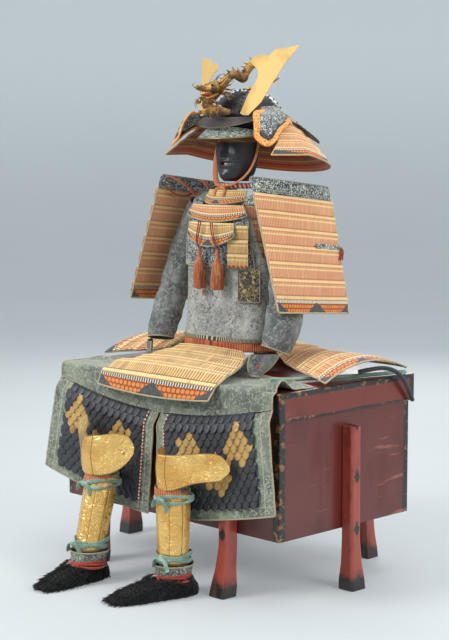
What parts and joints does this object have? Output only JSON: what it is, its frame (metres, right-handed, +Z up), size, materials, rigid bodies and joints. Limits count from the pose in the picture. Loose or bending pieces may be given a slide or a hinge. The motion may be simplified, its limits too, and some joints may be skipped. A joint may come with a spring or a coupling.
{
  "type": "samurai armour on armour chest",
  "caption": "Laced samurai armour with horned helmet, dragon crest, face mask, large shoulder guards and gilt shin guards, seated on a red lacquered armour chest with legs.",
  "frame": {"origin": "on the floor, in the middle of all that stands over it", "axes": "the armour faces -Y, the wearer's left side is +X and +Z is up"},
  "size_m": [1.006, 0.9798, 1.5423],
  "materials": {
    "red_lacquer": "worn red lacquer over wood",
    "worn_lacquer": "worn red lacquer with black patches",
    "black_lacquer": "black lacquered leather",
    "mask_lacquer": "black lacquered iron",
    "black_iron": "black lacquered riveted iron",
    "gilt": "matt gilding",
    "gilt_leather": "worn gold-lacquered leather",
    "aged_gilt": "dark aged gilding",
    "printed_leather": "faded grey-green printed leather",
    "grey_leather": "grey and white stencilled leather",
    "salmon_lacing": "close silk lacing",
    "gold_lacing": "close silk lacing",
    "red_lacing": "close silk lacing",
    "orange_silk": "silk thread tassels",
    "grey_cloth": "printed cloth",
    "green_cloth": "patterned cloth with cream piping",
    "pale_green_silk": "tubular silk braid",
    "black_cord": "braided cord",
    "black_fur": "black fur"
  },
  "bodies": {
    "root": {"chest_body": "red_lacquer", "chest_lid": "red_lacquer", "chest_leg_front_left": "worn_lacquer", "chest_leg_back_left": "worn_lacquer", "chest_leg_side_left": "worn_lacquer", "chest_leg_front_right": "worn_lacquer", "chest_leg_back_right": "worn_lacquer", "chest_leg_side_right": "worn_lacquer", "body_front": "printed_leather", "body_back": "salmon_lacing", "breast_plate": "grey_leather", "waist_lacing": "red_lacing", "chest_guard_laced": "gold_lacing", "chest_guard_leather": "black_lacquer", "shoulder_strap_left": "printed_leather", "shoulder_strap_right": "printed_leather", "throat_plate_upper": "gold_lacing", "throat_plate_middle": "gold_lacing", "throat_plate_lower": "gold_lacing", "tassel_left": "orange_silk", "tassel_right": "orange_silk", "neck_roll": "red_lacing", "helmet_bowl": "black_iron", "neck_guard_plates": "salmon_lacing", "neck_guard_leather": "grey_leather", "visor": "grey_leather", "crest_holder": "black_iron", "crest_horn_left": "gilt", "crest_horn_right": "gilt", "dragon_crest": "aged_gilt", "face_mask": "mask_lacquer", "shoulder_guard_left": "salmon_lacing", "shoulder_guard_crown_left": "grey_leather", "sleeve_left": "grey_cloth", "hand_guard_left": "grey_cloth", "shoulder_guard_right": "salmon_lacing", "shoulder_guard_crown_right": "grey_leather", "sleeve_right": "grey_cloth", "hand_guard_right": "grey_cloth", "skirt_panel_front": "gold_lacing", "skirt_panel_back": "gold_lacing", "skirt_panel_left": "gold_lacing", "skirt_panel_right": "gold_lacing", "thigh_guard_lap": "green_cloth", "thigh_panel_left": "green_cloth", "thigh_scales_left": "black_lacquer", "thigh_panel_right": "green_cloth", "thigh_scales_right": "black_lacquer", "legging_left": "grey_cloth", "shin_guard_left": "gilt_leather", "ankle_cuff_left": "grey_cloth", "knee_plate_left": "gilt_leather", "shoe_left": "black_fur", "legging_right": "grey_cloth", "shin_guard_right": "gilt_leather", "ankle_cuff_right": "grey_cloth", "knee_plate_right": "gilt_leather", "shoe_right": "black_fur", "lap_tie": "pale_green_silk", "belt_end": "black_cord"}
  },
  "joints": []
}
